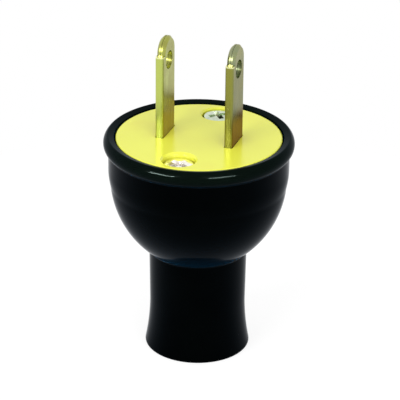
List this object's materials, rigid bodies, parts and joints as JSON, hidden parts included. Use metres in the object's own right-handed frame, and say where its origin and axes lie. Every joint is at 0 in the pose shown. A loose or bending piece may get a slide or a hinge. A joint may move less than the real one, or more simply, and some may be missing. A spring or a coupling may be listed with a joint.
{
  "type": "type a plug",
  "caption": "Round rewirable mains plug: flat parallel folded blades on an insulating face that is screwed into a lipped bowl-shaped body with a waisted neck for the cord.",
  "frame": {"origin": "centre of the flat cord end of the neck, which the plug stands on", "axes": "+Z along the blades to their tips, X across the blades, Y along the blades' width and the line of the assembly screws, -Y to the folded edges"},
  "size_m": [0.0336, 0.0336, 0.0582],
  "materials": {
    "body_black": "moulded black thermoplastic, glossy",
    "face_yellow": "moulded lemon-yellow nylon, glossy",
    "block_ivory": "moulded ivory thermoset, satin",
    "blade_brass": "rolled and folded brass strip",
    "terminal_brass": "turned brass",
    "screw_zinc": "bright zinc-plated steel",
    "insert_brass": "turned brass"
  },
  "bodies": {
    "root": {"body_shell": "body_black", "face_plate": "face_yellow", "terminal_block": "block_ivory", "blade_left": "blade_brass", "blade_right": "blade_brass", "terminal_screw_left": "terminal_brass", "terminal_screw_right": "terminal_brass", "assembly_screw_front": "screw_zinc", "assembly_screw_rear": "screw_zinc", "threaded_insert_front": "insert_brass", "threaded_insert_rear": "insert_brass"}
  },
  "joints": []
}
